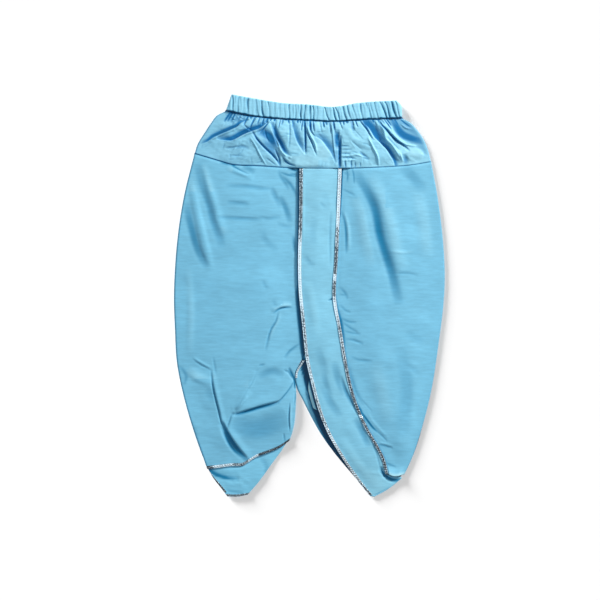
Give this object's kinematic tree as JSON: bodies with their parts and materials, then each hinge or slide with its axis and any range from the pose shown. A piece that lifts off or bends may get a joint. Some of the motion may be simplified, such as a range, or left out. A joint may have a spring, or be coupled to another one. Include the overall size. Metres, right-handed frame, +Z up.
{
  "type": "child's ready-made dhoti trousers laid flat",
  "caption": "Child's pull-on dhoti laid flat, front up: gathered elastic waistband, hip yoke, tulip legs and a front drape edged with silver tape.",
  "frame": {"origin": "centre of the laid garment's box, on the surface it lies on", "axes": "+Y towards the waist, +Z up out of the front, +X to the right as seen from above"},
  "size_m": [0.3792, 0.5633, 0.0094],
  "materials": {
    "cloth": "sky-blue slubbed cotton silk, soft sheen",
    "silver_tape": "ribbed silver foil tape, glossy"
  },
  "bodies": {
    "root": {"waistband_front": "cloth", "waistband_back": "cloth", "yoke_front": "cloth", "yoke_back": "cloth", "left_leg_front": "cloth", "right_leg_front": "cloth", "left_leg_back": "cloth", "right_leg_back": "cloth", "front_drape": "cloth", "drape_inner_pleat": "cloth", "drape_tape_left": "silver_tape", "drape_tape_right": "silver_tape", "left_hem_tape": "silver_tape", "left_tip_tape": "silver_tape", "left_edge_tape": "silver_tape", "crotch_tape": "silver_tape"}
  },
  "joints": []
}
